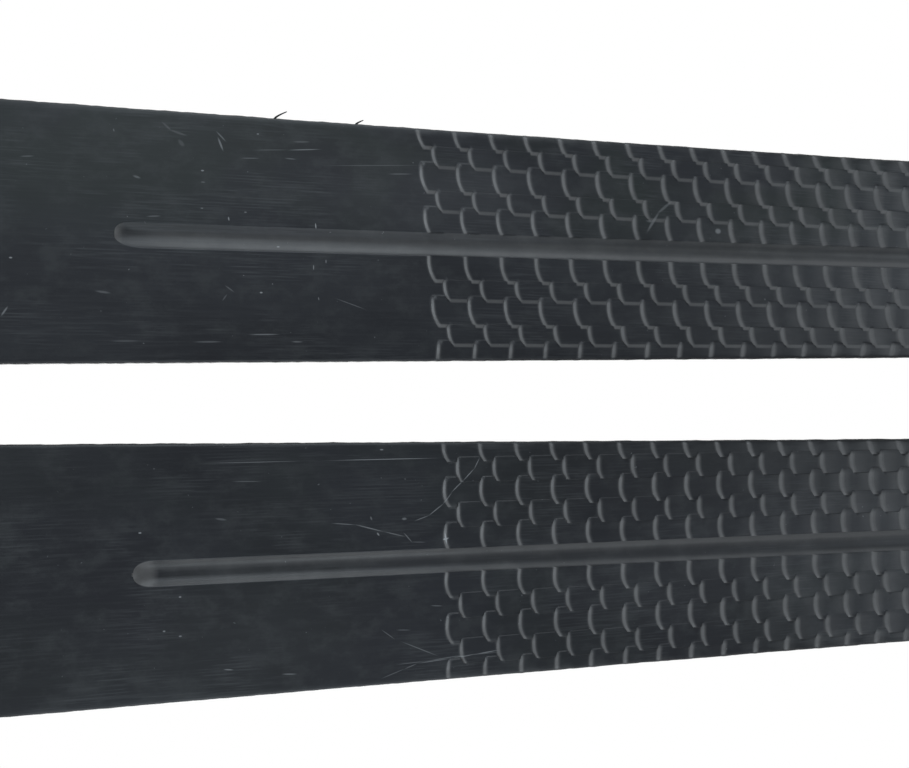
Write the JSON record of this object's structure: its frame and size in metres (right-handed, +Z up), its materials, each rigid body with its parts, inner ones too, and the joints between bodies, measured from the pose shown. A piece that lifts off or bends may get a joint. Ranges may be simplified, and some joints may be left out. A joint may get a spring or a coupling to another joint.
{
  "type": "pair of cross-country skis",
  "caption": "Pattern-base cross-country skis side by side, each with a grooved base, staggered grip scales and a hand-operated toe binding.",
  "frame": {"origin": "on the floor under the middle of the pair", "axes": "+X forwards to the tips, +Y to the skier's left, +Z up; both bases down"},
  "size_m": [1.9032, 0.1286, 0.0687],
  "materials": {
    "base": "ground running base, fine lengthwise marks, satin",
    "laminate": "cured glass-fibre laminate, dull",
    "core": "raw light wood",
    "sidewall": "milled plastic, satin",
    "top_sheet": "clear-coated plastic sheet, gloss",
    "end_plastic": "moulded plastic, fine grain",
    "binding_plastic": "moulded plastic, fine grain",
    "lever": "moulded plastic, satin",
    "steel": "zinc-plated steel, satin",
    "flexor": "moulded rubber, dull"
  },
  "bodies": {
    "right_ski": {"right_running_base": "base", "right_lower_laminate": "laminate", "right_core": "core", "right_sidewall_outer": "sidewall", "right_sidewall_inner": "sidewall", "right_upper_laminate": "laminate", "right_top_sheet": "top_sheet", "right_tip_protector": "end_plastic", "right_tail_protector": "end_plastic", "right_toe_housing": "binding_plastic", "right_lever_pin": "steel", "right_claw_spring": "steel", "right_flexor": "flexor", "right_rail_plate": "binding_plastic", "right_heel_plate": "binding_plastic", "right_toe_screw_front": "steel", "right_toe_screw_left": "steel", "right_toe_screw_right": "steel", "right_rail_screw": "steel", "right_heel_screw": "steel"},
    "right_lever": {"right_lever": "lever"},
    "right_claw": {"right_claw": "steel"},
    "left_ski": {"left_running_base": "base", "left_lower_laminate": "laminate", "left_core": "core", "left_sidewall_outer": "sidewall", "left_sidewall_inner": "sidewall", "left_upper_laminate": "laminate", "left_top_sheet": "top_sheet", "left_tip_protector": "end_plastic", "left_tail_protector": "end_plastic", "left_toe_housing": "binding_plastic", "left_lever_pin": "steel", "left_claw_spring": "steel", "left_flexor": "flexor", "left_rail_plate": "binding_plastic", "left_heel_plate": "binding_plastic", "left_toe_screw_front": "steel", "left_toe_screw_left": "steel", "left_toe_screw_right": "steel", "left_rail_screw": "steel", "left_heel_screw": "steel"},
    "left_lever": {"left_lever": "lever"},
    "left_claw": {"left_claw": "steel"}
  },
  "joints": [
    {"name": "left_ski_glide", "type": "slide", "parent": "right_ski", "child": "left_ski", "axis": [1, 0.0048, 0], "range_m": [-0.25, 0.25]},
    {"name": "right_lever_hinge", "type": "hinge", "parent": "right_ski", "child": "right_lever", "pos_m": [-0.01255, -0.03318, 0.0608], "axis": [-0.0048, -1, 0], "range_deg": [0, 70]},
    {"name": "right_claw_slide", "type": "slide", "parent": "right_ski", "child": "right_claw", "axis": [1, -0.0048, 0], "range_m": [0, 0.0075], "deforming": ["right_claw_spring"]},
    {"name": "left_lever_hinge", "type": "hinge", "parent": "left_ski", "child": "left_lever", "pos_m": [-0.00945, 0.03318, 0.0608], "axis": [0.0048, -1, 0], "range_deg": [0, 70]},
    {"name": "left_claw_slide", "type": "slide", "parent": "left_ski", "child": "left_claw", "axis": [1, 0.0048, 0], "range_m": [0, 0.0075], "deforming": ["left_claw_spring"]}
  ],
  "couplings": [
    {"joint": "right_claw_slide", "follows": "right_lever_hinge", "m_per_rad": 0.0061388},
    {"joint": "left_claw_slide", "follows": "left_lever_hinge", "m_per_rad": 0.0061388}
  ]
}
